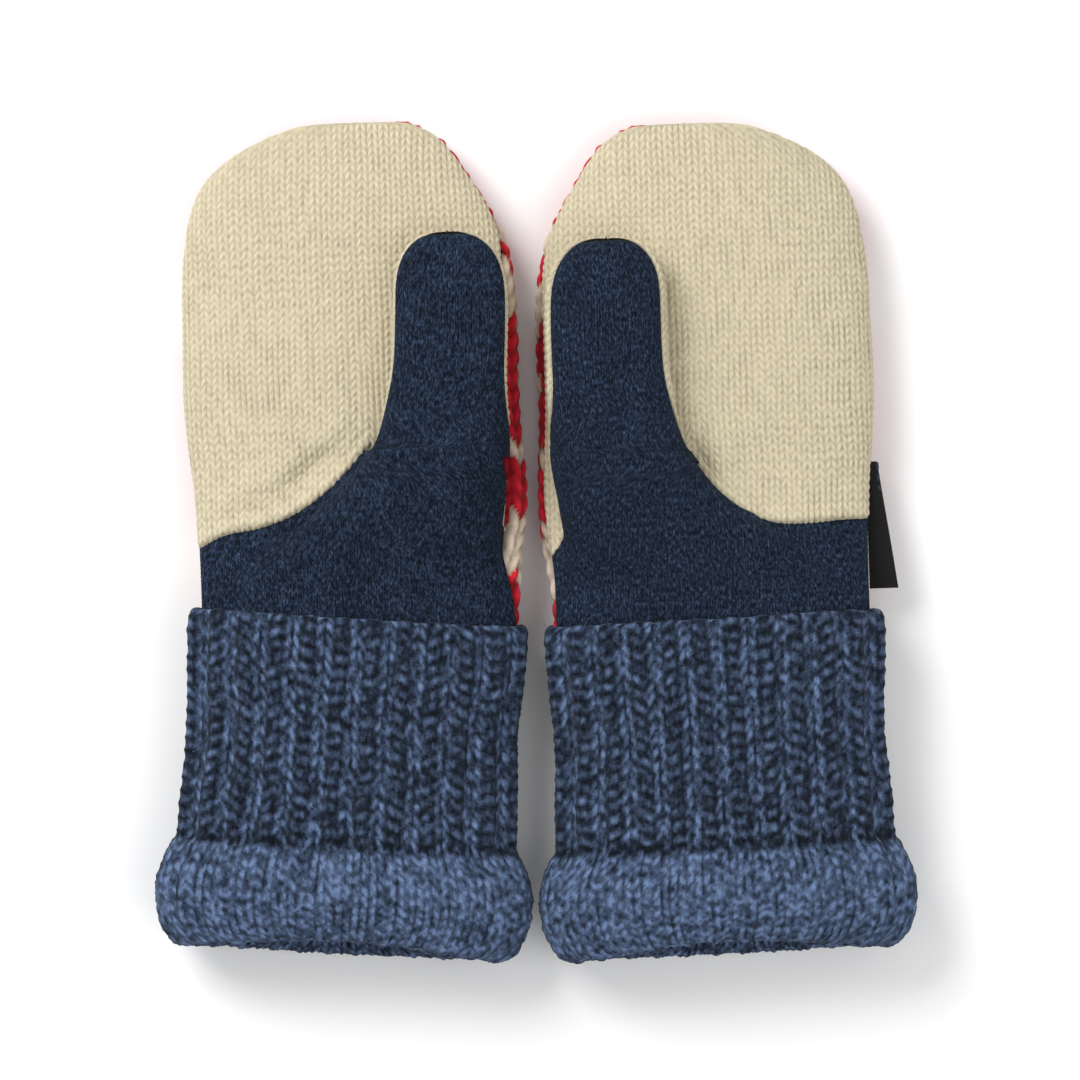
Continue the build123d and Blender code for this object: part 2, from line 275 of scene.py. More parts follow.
def cut(ys, rows, across, low, high, count):
    """The part of a surface between two lines of y, as count rows that follow them."""
    columns = rows.shape[1]
    t = np.linspace(0, 1, count + 1)[:, None]
    wanted = low[None, :] + (high - low)[None, :] * t
    points = np.empty((count + 1, columns, 3))
    u = np.empty((count + 1, columns))
    for j in range(columns):
        for k in range(3):
            points[:, j, k] = np.interp(wanted[:, j], ys, rows[:, j, k])
        u[:, j] = np.interp(wanted[:, j], ys, across[:, j])
    return points, u, wanted


def normals_of(points):
    du = np.gradient(points, axis=1)
    dv = np.gradient(points, axis=0)
    n = np.cross(du, dv)
    length = np.linalg.norm(n, axis=-1, keepdims=True)
    return n / np.maximum(length, 1e-9)


def side_distance(u):
    """Distance in mm from each vertex to the nearer long edge of its panel."""
    return np.minimum(u - u[:, :1], u[:, -1:] - u)


def edge_distance(u, v):
    """Distance in mm from each vertex to the nearest cut edge of its panel."""
    return np.minimum(side_distance(u), np.minimum(v - v[:1, :], v[-1:, :] - v))


# ---- knitting ----
def stitches(u, v, wale, row, lean=0.85):
    """Height from 0 to 1 of stockinette: each wale is a column of V-shaped stitches."""
    half = np.abs(u / wale - np.round(u / wale)) * 2
    leg = np.clip(1 - (2 * half - 1) ** 2, 0, 1) ** 0.5
    phase = v / row - lean * half
    strand = np.abs(np.sin(np.pi * (phase - np.floor(phase)))) ** 0.65
    return leg * (0.30 + 0.70 * strand)


def wobble(u, v, amount, seed):
    """Cloth positions pulled a little out of true, as hand-steamed knitting is."""
    du = cloth_noise(u, v, 16, 22, seed) * amount
    dv = cloth_noise(u, v, 18, 14, seed + 5) * amount
    return u + du, v + dv


# ---- meshes ----
def add_object(name, data):
    obj = bpy.data.objects.new(name, data)
    bpy.context.scene.collection.objects.link(obj)
    return obj


def make_sheet(name, points, uv, flip=False, closed=False, shade_and_tone=None):
    """A grid of quads laid over points of shape (rows, columns, 3), in metres."""
    rows, columns = points.shape[:2]
    bm = bmesh.new()
    bmesh.ops.create_grid(bm, x_segments=columns - 1, y_segments=rows - 1, size=1.0)
    if flip:
        bmesh.ops.reverse_faces(bm, faces=bm.faces)
    mesh = bpy.data.meshes.new(name)
    bm.to_mesh(mesh)
    bm.free()
    flat = np.empty(len(mesh.vertices) * 3)
    mesh.vertices.foreach_get("co", flat)
    flat = flat.reshape(-1, 3)
    column = np.rint((flat[:, 0] + 1) / 2 * (columns - 1)).astype(int)
    row = np.rint((flat[:, 1] + 1) / 2 * (rows - 1)).astype(int)
    mesh.vertices.foreach_set("co", points[row, column].ravel())
    loops = np.empty(len(mesh.loops), int)
    mesh.loops.foreach_get("vertex_index", loops)
    layer = mesh.uv_layers.new(name="cloth")
    layer.data.foreach_set("uv", (uv[row, column][loops] * 0.01).ravel())
    # Per-vertex brightness: painted shade from the knit relief and the seams, with the yarn's own random
    # tone.
    if shade_and_tone is not None:
        attribute = mesh.attributes.new("shade_and_tone", "FLOAT", "POINT")
        attribute.data.foreach_set("value", shade_and_tone[row, column].astype(np.float32))
    mesh.polygons.foreach_set("use_smooth", np.ones(len(mesh.polygons), bool))
    if closed:
        bm = bmesh.new()
        bm.from_mesh(mesh)
        bmesh.ops.remove_doubles(bm, verts=bm.verts, dist=1e-6)
        bm.to_mesh(mesh)
        bm.free()
    mesh.update()
    return add_object(name, mesh)


def panel(side, name, points, u, v, relief, shade_and_tone, tuck=1.6, tuck_width=3.0, flip=False, edges=None):
    """A knitted panel whose stitches stand out by relief and whose cut edges turn in to the seams, with
    painted shade along those turned-in edges.
    """
    n = normals_of(points)
    if flip:
        n = -n
    distance = edge_distance(u, v) if edges is None else edges
    turned = np.clip(1 - distance / tuck_width, 0, 1) ** 2
    points = points + n * (relief * (1 - 0.6 * turned) - tuck * turned)[..., None]
    world = side.hand(points)
    # Painted shade: the tone darkens where the edges turn in to the seams.
    shade = np.clip(shade_and_tone - 0.35 * turned, 0, 1)
    flipped = (side.mirror < 0) != flip
    return make_sheet(f"{side.name}_{name}_knit", world, np.stack([u, v], -1), flipped, shade_and_tone=shade)


def dress(obj, material, slot, *nodes):
    obj.data.materials.clear()
    obj.data.materials.append(material)
    if nodes:
        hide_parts(*nodes)
    return obj


def wrist_blend(side, obj):
    side.body("sleeve")
    side.body("hand")
    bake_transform(obj)


def hand_blend(side, obj, body, fold, before, after):
    start = side.hand([0, fold - before, 0])
    end = side.hand([0, fold + after, 0])
    side.body("hand")
    side.body(body)
    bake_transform(obj)


def finger_blend(side, obj):
    hand_blend(side, obj, "fingers", FINGER_FOLD, 9, 9)


def thumb_blend(side, obj):
    hand_blend(side, obj, "thumb", THUMB_FOLD, 2, 22)


def flat_size(u, v):
    """Width, length and area in metres of a panel's flat cut."""
    area = abs((np.diff(u, axis=1)[:-1] * np.diff(v, axis=0)[:, :-1]).sum()) * MM * MM
    return (u.max() - u.min()) * MM, (v.max() - v.min()) * MM, area


def declare(obj, u, v, held, *rests_on):
    width, length, area = flat_size(u, v)
    area = min(max(area, 0.31 * width * length), width * length)


# ---- materials ----
def nodes_for(name, roughness, sheen, sheen_tint):
    material = bpy.data.materials.get(name + "_look")
    if material:
        return material, None, None
    material = bpy.data.materials.new(name + "_look")
    material.use_nodes = True
    tree = material.node_tree
    shader = tree.nodes["Principled BSDF"]
    shader.inputs["Roughness"].default_value = roughness
    shader.inputs["Specular IOR Level"].default_value = 0.06
    shader.inputs["Sheen Weight"].default_value = sheen
    shader.inputs["Sheen Roughness"].default_value = 0.55
    shader.inputs["Sheen Tint"].default_value = (*sheen_tint, 1)
    return material, tree, shader


def node(tree, kind, *inputs, **settings):
    made = tree.nodes.new(kind)
    for key, value in settings.items():
        setattr(made, key, value)
    for i, value in enumerate(inputs):
        if value is None:
            continue
        if hasattr(value, "links"):
            tree.links.new(value, made.inputs[i])
        else:
            made.inputs[i].default_value = value
    return made


def math_node(tree, operation, *values):
    return node(tree, "ShaderNodeMath", *values, operation=operation).outputs[0]


def scaled_uv(tree, x, y):
    uv = node(tree, "ShaderNodeUVMap", uv_map="cloth").outputs[0]
    return node(tree, "ShaderNodeMapping", uv, None, None, (x, y, 1)).outputs[0]


def tones(tree, factor, stops):
    ramp = node(tree, "ShaderNodeValToRGB", factor)
    elements = ramp.color_ramp.elements
    while len(elements) < len(stops):
        elements.new(0.5)
    for element, (at, colour) in zip(elements, stops):
        element.position = at
        element.color = (*colour, 1)
    return ramp.outputs[0]


def bumped(tree, shader, height, distance, strength=1.0):
    bump = node(tree, "ShaderNodeBump", strength, distance)
    tree.links.new(height, bump.inputs["Height"])
    tree.links.new(bump.outputs[0], shader.inputs["Normal"])


def fibre_noise(tree, x, y, detail=4.0):
    """Fine noise stretched along the strands, at so many waves a centimetre."""
    made = node(tree, "ShaderNodeTexNoise")
    tree.links.new(scaled_uv(tree, x, y), made.inputs["Vector"])
    made.inputs["Scale"].default_value = 10.0
    made.inputs["Detail"].default_value = detail
    made.inputs["Roughness"].default_value = 0.62
    return made.outputs[0]


def yarn_material(name, stops, mix=0.35, sheen=0.35, tint=(1, 1, 1), grain=(3.0, 2.0), bump=0.0004):
    """Knitted yarn: its colour follows how far each strand stands out, painted shade in the gaps and painted
    light on the crests, with fibres over it.
    """
    material, tree, shader = nodes_for(name, 0.92, sheen, tint)
    if tree is None:
        return material
    # This attribute holds painted shade from the stitch relief as well as the yarn's own random tone.
    shade_and_tone = node(tree, "ShaderNodeAttribute", attribute_name="shade_and_tone").outputs["Fac"]
    fibre = fibre_noise(tree, *grain)
    centred = math_node(tree, "SUBTRACT", fibre, 0.5)
    value = math_node(tree, "ADD", shade_and_tone, math_node(tree, "MULTIPLY", centred, mix * 2))
    tree.links.new(tones(tree, value, stops), shader.inputs["Base Color"])
    fine = fibre_noise(tree, grain[0] * 2.2, grain[1] * 2.2)
    bumped(tree, shader, fine, bump)
    return material


def cream_wool():
    p = bpy.context.scene.mittens
    light = np.array(p.cream)
    # Low stops are painted shade for the gaps between stitches, the top stop painted light on their crests.
    stops = [(0.0, light * 0.34), (0.35, light * 0.68), (0.7, light), (1.0, light * 1.25)]
    return yarn_material("cream_wool", stops, mix=0.25, sheen=0.12, grain=(9.0, 6.0))


def navy_jersey():
    p = bpy.context.scene.mittens
    base = np.array(p.navy)
    # Low stops are painted shade between stitches; the high stops are the yarn's light heather flecks and
    # painted light on the stitch crests.
    stops = [(0.0, base * 0.15), (0.35, base * 0.7), (0.6, base * 1.9), (1.0, base * 5.5)]
    return yarn_material("navy_jersey", stops, mix=0.75, sheen=0.03, tint=(0.7, 0.8, 1.0),
                         grain=(15.0, 6.0), bump=0.0003)


def cuff_wool():
    p = bpy.context.scene.mittens
    base = np.array(p.denim)
    # Low stops are painted shade in the rib and stitch gaps, the roll's crease and the cuff's mouth; the high
    # stops are the marl's light flecks and painted light on the crests.
    stops = [(0.0, base * 0.08), (0.25, base * 0.4), (0.55, base * 1.3), (1.0, base * 3.6)]
    return yarn_material("cuff_wool", stops, mix=0.5, sheen=0.08, tint=(0.75, 0.85, 1.0),
                         grain=(8.0, 5.0), bump=0.0005)


def sleeve_wool():
    p = bpy.context.scene.mittens
    base = np.array(p.denim)
    # The ramp runs from painted shade between ribs and stitches to painted light on their crests.
    return yarn_material("sleeve_wool", [(0.0, base * 0.08), (0.5, base * 0.5), (1.0, base * 1.3)],
                         mix=0.5, sheen=0.3, tint=(0.75, 0.85, 1.0), grain=(2.2, 1.6), bump=0.0005)


def fleece():
    material, tree, shader = nodes_for("fleece_lining", 0.97, 0.6, (0.8, 0.85, 1.0))
    if tree is None:
        return material
    pile = fibre_noise(tree, 1.4, 1.4, 8.0)
    tree.links.new(tones(tree, pile, [(0.3, (0.010, 0.012, 0.018)), (0.7, (0.05, 0.06, 0.085))]),
                   shader.inputs["Base Color"])
    bumped(tree, shader, pile, 0.0015)
    return material


def colourwork():
    """Chunky red and cream yarn: the pattern attribute says which yarn each stitch is knitted in, and both
    yarns darken with painted shade in the gaps between stitches.
    """
    p = bpy.context.scene.mittens
    material, tree, shader = nodes_for("back_wool", 0.92, 0.08, (1.0, 0.9, 0.9))
    if tree is None:
        return material
    red, cream = np.array(p.red), np.array(p.back_cream)
    shade_and_tone = node(tree, "ShaderNodeAttribute", attribute_name="shade_and_tone").outputs["Fac"]
    yarn = node(tree, "ShaderNodeAttribute", attribute_name="yarn").outputs["Fac"]
    fibre = fibre_noise(tree, 1.6, 2.6)
    centred = math_node(tree, "SUBTRACT", fibre, 0.5)
    value = math_node(tree, "ADD", shade_and_tone, math_node(tree, "MULTIPLY", centred, 0.7))
    # Both ramps run from painted shade in the stitch gaps to painted light on the stitch crests.
    reds = tones(tree, value, [(0.0, red * 0.12), (0.4, red * 0.55), (0.75, red), (1.0, red * 1.5)])
    creams = tones(tree, value, [(0.0, cream * 0.3), (0.4, cream * 0.7), (0.75, cream), (1.0, cream * 1.15)])
    mix = node(tree, "ShaderNodeMix", data_type="RGBA")
    tree.links.new(yarn, mix.inputs[0])
    tree.links.new(reds, mix.inputs[6])
    tree.links.new(creams, mix.inputs[7])
    tree.links.new(mix.outputs[2], shader.inputs["Base Color"])
    bumped(tree, shader, fibre, 0.0008)
    return material


def ribbon_material():
    material, tree, shader = nodes_for("label_ribbon", 0.55, 0.1, (1, 1, 1))
    if tree is None:
        return material
    uv = scaled_uv(tree, 100, 100)
    weft = node(tree, "ShaderNodeTexWave", uv, 1.4, 0.4, bands_direction="Y").outputs[1]
    warp = node(tree, "ShaderNodeTexWave", uv, 3.2, 0.4, bands_direction="X").outputs[1]
    weave = math_node(tree, "MULTIPLY", weft, warp)
    tree.links.new(tones(tree, weave, [(0.0, (0.005, 0.005, 0.005)), (1.0, (0.022, 0.022, 0.022))]),
                   shader.inputs["Base Color"])
    bumped(tree, shader, weave, 0.0001)
    return material


def thread_material():
    material, tree, shader = nodes_for("sewing_thread", 0.7, 0.2, (1, 1, 1))
    if tree is None:
        return material
    coord = node(tree, "ShaderNodeTexCoord").outputs["Object"]
    twist = node(tree, "ShaderNodeTexWave", coord, 900.0, 1.0, bands_direction="DIAGONAL").outputs[1]
    tree.links.new(tones(tree, twist, [(0.0, (0.010, 0.013, 0.022)), (1.0, (0.05, 0.06, 0.09))]),
                   shader.inputs["Base Color"])
    bumped(tree, shader, twist, 0.0001)
    return material


# ---- pieces of the hand ----
TIP_ROWS = 112 + 67.9999 * np.sin(np.linspace(0, math.pi / 2, 120))  # closer together towards the tip
HAND_ROWS = np.concatenate([np.arange(-14, 112, 1.0), TIP_ROWS])


def creases(side, x, y):
    """Soft folds of the palm round the thumb's crotch, as heights in mm."""
    if side.name == "right":
        folds = [(-16, 53, 13, 5, 38, -3.6), (-34, 50, 14, 5, 20, 1.6), (-6, 66, 10, 6, 60, 1.8),
                 (-44, 44, 12, 6, 8, 0.9), (-14, 92, 22, 30, 0, 0.8), (24, 150, 24, 12, 20, -0.8)]
    else:
        folds = [(3, 56, 4.5, 9, -25, -4.4), (-7, 62, 6, 12, -20, 1.8), (12, 62, 4, 9, -25, 1.6),
                 (-30, 60, 16, 10, 10, -1.1), (-32, 100, 18, 20, 0, 0.9), (10, 150, 24, 12, -15, -0.8)]
    height = np.zeros_like(x)
    for fx, fy, across, along, turn, rise in folds:
        a = math.radians(turn)
        p = (x - fx) * math.cos(a) + (y - fy) * math.sin(a)
        q = -(x - fx) * math.sin(a) + (y - fy) * math.cos(a)
        height += rise * np.exp(-(p / across) ** 2 - (q / along) ** 2)
    return height


def softened(side, points, seed, amount=0.7):
    """The form with its slow hand-made unevenness and its creases."""
    x, y = points[..., 0], points[..., 1]
    rise = amount * soft_noise(np.stack([x / 34, y / 34], -1), 1.0, seed + side.mirror)
    top = smoothstep(0.1, 0.7, normals_of(points)[..., 2])
    fade = smoothstep(-2, 14, y)
    moved = points.copy()
    moved[..., 2] += (rise + creases(side, x, y) * top) * fade
    return moved


def palm_seam(side, x):
    """The curved seam across the palm: its y at each x, from the outer edge to the thumb's crotch."""
    knots = {
        "right": [(-62, 23), (-48, 30), (-34, 32.5), (-22, 36.5), (-12, 42.5), (-3, 50), (6.5, 61)],
        "left": [(-62, 33), (-48, 33), (-34, 32), (-22, 32.5), (-10, 37), (-1, 45.5), (6.5, 58)],
    }[side.name]
    return track(knots, x)


def seam_line(side, rows, ys):
    """The palm seam's y for each column of a surface, found by walking up the column."""
    y = np.full(rows.shape[1], 35.0)
    for _ in range(12):
        for j in range(rows.shape[1]):
            x = np.interp(y[j], ys, rows[:, j, 0])
            y[j] = 0.5 * y[j] + 0.5 * float(palm_seam(side, np.array(x)))
    return y


def cream_shade_and_tone(u, v, relief):
    # Painted shade in the gaps between stitches and painted light on their crests, over a little random tone
    # in the yarn.
    return 0.30 + 0.62 * relief + 0.10 * cloth_noise(u, v, 2.2, 7.0, 4.0)


def upper_palm(side, p):
    count = int(142 / p.cream_mesh)
    rows, across = surface(HAND_ROWS, lambda y: palm_profile(side, y, None), count)
    s = np.linspace(0, 1, count + 1)
    seam = seam_line(side, rows, HAND_ROWS)
    x_there = np.array([np.interp(seam[j], HAND_ROWS, rows[:, j, 0]) for j in range(count + 1)])
    hidden = smoothstep(0.0, 12.0, x_there - 2.0)
    low = seam * (1 - hidden) + (42 - 24 * smoothstep(0.80, 0.97, s)) * hidden
    high = np.full(count + 1, HAND_ROWS[-1])
    points, u, v = cut(HAND_ROWS, rows, across, low, high, int(152 / p.cream_mesh))
    points = softened(side, points, 3.0)
    near = v - seam[None, :]
    lip = p.lip * np.exp(-((near - 3.6) / 3.0) ** 2) * (1 - hidden)[None, :]
    lip += 0.45 * p.lip * np.exp(-((near - 9.5) / 3.5) ** 2) * (1 - hidden)[None, :]
    covered = smoothstep(0.4, 2.6, root_edge(v) - points[..., 0]) * (1 - smoothstep(56, 61, v))
    points[..., 2] += lip - 2.8 * hidden[None, :] * covered
    wu, wv = wobble(u, v, 0.9, 11.0 + side.mirror)
    relief = stitches(wu, wv, p.cream_wale, p.cream_row)
    obj = panel(side, "upper_palm", points, u, v, p.cream_relief * relief, cream_shade_and_tone(u, v, relief))
    dress(obj, cream_wool(), "cream_wool", side.body("upper_palm"), side.body("palm_tip"))
    finger_blend(side, obj)
    declare(obj, u, v, "laid", f"{side.name}_back_upper_knit")


def palm_with_root(side, count):
    ys = np.arange(-14, THUMB_FOLD + 4.01, 1.0)
    profiles = []
    for y in ys:
        profile = palm_profile(side, y, palm_height)
        profiles.append(resampled(profile[profile[:, 0] <= root_edge(y)], count))
    return ys, np.array([r[0] for r in profiles]), np.array([r[1] for r in profiles])


def lower_palm(side, p):
    count = int(150 / p.navy_mesh)
    ys, rows, across = palm_with_root(side, count)
    seam = np.minimum(seam_line(side, rows, ys), THUMB_FOLD)
    x_there = np.array([np.interp(seam[j], ys, rows[:, j, 0]) for j in range(count + 1)])
    under = np.minimum(seam + 3.5, THUMB_FOLD)  # a hem that runs on under the cream lip
    high = np.where(x_there >= 5.5, THUMB_FOLD + 4 * smoothstep(8, 12, x_there), under)
    low = np.full(count + 1, -14.0)
    points, u, v = cut(ys, rows, across, low, high, int(78 / p.navy_mesh))
    points = softened(side, points, 3.0)
    points[..., 2] += 0.35
    hem = smoothstep(-1.5, 3.5, v - seam[None, :]) * (x_there < 5.5)[None, :]
    points[..., 2] -= 1.9 * hem + 0.9 * smoothstep(THUMB_FOLD - 2, THUMB_FOLD + 4, v)
    wu, wv = wobble(u, v, 0.5, 21.0)
    relief = stitches(wu, wv, p.navy_wale, p.navy_row)
    shade_and_tone = heather_and_shade(u, v, relief, 8.0 + side.mirror)
    obj = panel(side, "lower_palm", points, u, v, p.navy_relief * relief, shade_and_tone, tuck=1.2, tuck_width=2.6,
                edges=side_distance(u))
    dress(obj, navy_jersey(), "navy_jersey", side.body("lower_palm"), side.body("palm_seam_thread"))
    wrist_blend(side, obj)
    declare(obj, u, v, "laid", f"{side.name}_back_lower_knit")


def heather_and_shade(u, v, relief, seed):
    """Fine two-tone yarn: short light flecks along the wales over a dark ground, with painted shade in the
    gaps between stitches.
    """
    flecks = cloth_noise(u, v, 0.8, 1.7, seed)
    patches = cloth_noise(u, v, 9, 14, seed + 3)
    # The relief term is painted shade; the flecks and patches are the yarn's own colour.
    return np.clip(0.20 + 0.34 * relief + 0.34 * flecks + 0.06 * patches, 0, 1)


def thumb_rows(side, half, count, mesh):
    """Front or back of the free thumb, its edges rising from the palm to the thumb's own sides."""
    lip = 0.2 if side.name == "right" else 1.5
    straight = np.arange(THUMB_FOLD - 4 if half == "front" else THUMB_FOLD, 114, mesh)
    tip = 114 + (THUMB_TIP - 114.0001) * np.sin(np.linspace(0.04, math.pi / 2, int(40 / mesh)))
    ys = np.concatenate([straight, tip])
    rows, across = [], []
    for y in ys:
        cx, w, top = (float(a) for a in thumb_section(y))
        rise = float(smoothstep(THUMB_FOLD, THUMB_FOLD + 26, y))
        deep = float(rounding(108, THUMB_TIP + 0.4, 2.3, y))
        middle = 27.5 + (THUMB_TOP - THUMB_DEPTH / 2 - 27.5) * rise
        curl = 0.0 if half == "front" else 0.5 * rise  # the back's edges roll up round the front's
        ox, oz = oval(np.linspace(math.pi + curl, -curl, 201))
        if half == "front":
            x = cx + w * ox
            z = middle + (THUMB_TOP - middle) * deep * oz
            start = palm_height(x, min(y, THUMB_FOLD)) - (27.5 + (THUMB_TOP - 27.5) * oz)
            z = z + start * (1 - float(smoothstep(THUMB_FOLD, THUMB_FOLD + 18, y)))
            z = z - 0.9 * (1 - float(smoothstep(THUMB_FOLD - 4, THUMB_FOLD + 2, y)))
        else:
            x = cx + (w + lip * rise) * ox
            under = max(0.2, middle - PALM_TOP - 0.9) * deep
            z = middle - np.where(oz > 0, under, 3.4 * deep) * oz
        points, u = resampled(np.stack([x, np.full_like(x, y), z], -1), count)
        rows.append(points)
        across.append(u - u[0] + (points[0, 0] if half == "front" else 0.0))
    rows, across = np.array(rows), np.array(across)
    return ys, rows, across


def thumb(side, p):
    for half, mesh, build in (("front", p.navy_mesh, 68), ("back", p.cream_mesh, 50)):
        count = int(build / mesh)
        ys, rows, u = thumb_rows(side, half, count, mesh)
        v = np.repeat(ys[:, None], count + 1, 1)
        edges = np.minimum(side_distance(u), THUMB_TIP - v)
        bend = (1.2 if side.name == "right" else -1.0) * smoothstep(70, 137, rows[..., 1])
        rows[..., 0] += bend
        rows[..., 2] += 0.35 + softened(side, rows, 3.0)[..., 2] - rows[..., 2] if half == "front" else 0.0
        if half == "front":
            wu, wv = wobble(u, v, 0.5, 21.0)
            relief = stitches(wu, wv, p.navy_wale, p.navy_row)
            shade_and_tone = heather_and_shade(u, v, relief, 8.0 + side.mirror)
            obj = panel(side, "thumb_front", rows, u, v, p.navy_relief * relief, shade_and_tone,
                        tuck=0.9, tuck_width=2.4, edges=edges)
            dress(obj, navy_jersey(), "navy_jersey", side.body("thumb_front"), side.body("thumb_seam_thread"))
        else:
            wu, wv = wobble(u, v, 0.6, 25.0)
            relief = stitches(wu, wv, p.cream_wale, p.cream_row)
            obj = panel(side, "thumb_back", rows, u, v, p.cream_relief * relief, cream_shade_and_tone(u, v, relief),
                        tuck=0.0, tuck_width=1.6, flip=True, edges=edges)
            dress(obj, cream_wool(), "cream_wool", side.body("thumb_back"))
        thumb_blend(side, obj)
        declare(obj, u, v, "laid", f"{side.name}_upper_palm_knit")


def back_panels(side, p):
    """The chunky colourwork back, in two pieces that meet between two rows of stitches."""
    count = int(150 / p.back_mesh)
    rows, across = surface(HAND_ROWS, lambda y: back_profile(side, y), count)
    split = 12 * p.back_row
    parts = (("back_lower", -14.0, split, 65, "back"), ("back_upper", split, HAND_ROWS[-1], 125, "back_tip"))
    for name, low, high, length, stands_for in parts:
        low_line, high_line = np.full(count + 1, low), np.full(count + 1, high)
        points, u, v = cut(HAND_ROWS, rows, across, low_line, high_line, int(length / p.back_mesh))
        rise = 0.5 * soft_noise(np.stack([points[..., 0] / 30, points[..., 1] / 30], -1), 1.0, 31.0)
        points = points - normals_of(points) * rise[..., None] * smoothstep(-2, 14, v)[..., None]
        relief = stitches(u, v, p.back_wale, p.back_row, lean=0.8)
        below = smoothstep(1.3, 4.0, points[..., 2])
        yarn = colour_pattern(u, v, p.back_wale, p.back_row)
        # Painted shade in the gaps between the chunky stitches, over a little random tone in the yarn.
        shade_and_tone = 0.12 + 0.72 * relief + 0.12 * cloth_noise(u, v, 1.6, 5.0, 9.0)
        edges = np.minimum(side_distance(u), HAND_ROWS[-1] - v)
        outer = smoothstep(2, 16, u[:, -1:] - u)
        raised = p.back_relief * relief * (0.35 + 0.65 * below) * (0.15 + 0.85 * outer) - 1.1 * (1 - outer)
        obj = panel(side, name, points, u, v, raised, shade_and_tone, tuck=1.8, tuck_width=3.5, edges=edges)
        shift_yarn(obj, yarn)
        dress(obj, colourwork(), "back_wool", side.body(stands_for))
        if name == "back_lower":
            wrist_blend(side, obj)
        else:
            finger_blend(side, obj)
        declare(obj, u, v, "laid")


def colour_pattern(u, v, wale, row):
    """Which stitches are cream: two bands of V motifs and a scatter of single stitches on red."""
    half = np.abs(u / wale - np.round(u / wale)) * 2
    stitch_row = np.floor(v / row - 0.8 * half).astype(int)
    stitch_wale = np.round(u / wale).astype(int)
    band = np.isin(stitch_row % 14, [2, 3])
    zigzag = (stitch_row % 14 == 4) & (stitch_wale % 2 == 0) | (stitch_row % 14 == 1) & (stitch_wale % 2 == 1)
    single = (stitch_row % 4 == 0) & ((stitch_wale + stitch_row // 4) % 2 == 0)
    diamonds = (stitch_row % 14 >= 6) & (stitch_row % 14 <= 13) & single
    return (band | zigzag | diamonds).astype(float)


def shift_yarn(obj, yarn):
    attribute = obj.data.attributes.new("yarn", "FLOAT", "POINT")
    grid = grid_order(obj, yarn.shape)
    attribute.data.foreach_set("value", yarn[grid].astype(np.float32))


def grid_order(obj, shape):
    """Row and column of each vertex of a sheet: create_grid lays its rows out one after another."""
    index = np.arange(len(obj.data.vertices))
    return index // shape[1], index % shape[1]


def lining(side, p):
    """Fleece pocket inside the shell, and the fleece inside the thumb."""
    ys = HAND_ROWS[::2]
    rows = []
    for y in ys:
        cx, cz, w, d = (float(a) for a in pocket_section(y))
        theta = np.linspace(math.pi, -math.pi, 97)
        ox, oz = oval(theta)
        x, z = cx + max(w - 4.2, 0.2) * ox, cz + max(d - 4.2, 0.2) * oz
        rows.append(np.stack([x, np.full_like(x, min(y, HAND_LENGTH - 5)), z], -1))
    rows = np.array(rows)
    u = np.repeat(np.linspace(0, 250, 97)[None, :], len(ys), 0)
    v = np.repeat(ys[:, None], 97, 1)
    uv = np.stack([u, v], -1)
    obj = make_sheet(f"{side.name}_lining_pocket", side.hand(rows), uv, side.mirror < 0, closed=True)
    layers = ["lining_back", "lining_upper_palm", "lining_lower_palm", "lining_back_tip", "lining_palm_tip"]
    dress(obj, fleece(), "fleece_lining", *[side.body(n) for n in layers])
    finger_blend(side, obj)
    ys = np.linspace(THUMB_FOLD - 2, THUMB_TIP - 5, 60)
    rows = []
    for y in ys:
        cx, w, top = (float(a) for a in thumb_section(min(y + 4, THUMB_TIP - 0.5)))
        deep = float(rounding(100, THUMB_TIP - 4, 2.3, y))
        rise = float(smoothstep(THUMB_FOLD, THUMB_FOLD + 26, y))
        ox, oz = oval(np.linspace(math.pi, -math.pi, 65))
        middle = 33 + (THUMB_TOP - THUMB_DEPTH / 2 - 33) * rise
        x, z = cx + max(w - 4.4, 0.2) * ox, middle + max(5.0 * deep, 0.2) * oz
        rows.append(np.stack([x, np.full_like(x, y), z], -1))
    rows = np.array(rows)
    u = np.repeat(np.linspace(0, 90, 65)[None, :], len(ys), 0)
    v = np.repeat(ys[:, None], 65, 1)
    uv = np.stack([u, v], -1)
    obj = make_sheet(f"{side.name}_lining_thumb", side.hand(rows), uv, side.mirror < 0, closed=True)
    dress(obj, fleece(), "fleece_lining", side.body("thumb_lining_front"), side.body("thumb_lining_back"))
    thumb_blend(side, obj)


# ---- the cuff ----
def cuff_path(p):
    """(y, how far out) round the cuff's wall: from inside its top edge, down the rib, round the roll."""
    knots = [(-22, -4.4), (-10, -4.4), (-2.2, -4.2), (0.2, -2.9), (0.4, -1.2), (-1.6, -0.1), (-6, 0.2),
             (-30, 0.0), (-55, 0.0), (-72, 0.0), (-79, 0.0), (-82, 0.3), (-85, 1.9), (-91, 4.9), (-99, 6.6),
             (-108, 6.0), (-115, 3.6), (-119.5, 0.3), (-121.5, -3.6), (-120.5, -8.0), (-116, -11.6),
             (-108, -13.4), (-96, -14.0)]
    points = np.array(knots, float)
    for _ in range(3):
        quarter = points[:-1] * 0.75 + points[1:] * 0.25
        three = points[:-1] * 0.25 + points[1:] * 0.75
        cornered = np.empty((2 * len(quarter), 2))
        cornered[0::2], cornered[1::2] = quarter, three
        points = np.concatenate([points[:1], cornered, points[-1:]])
    steps = np.linalg.norm(np.diff(points, axis=0), axis=1)
    arc = np.concatenate([[0], np.cumsum(steps)])
    wanted = np.linspace(0, arc[-1], int(arc[-1] / p.cuff_mesh) + 1)
    return np.stack([np.interp(wanted, arc, points[:, k]) for k in range(2)], -1), wanted


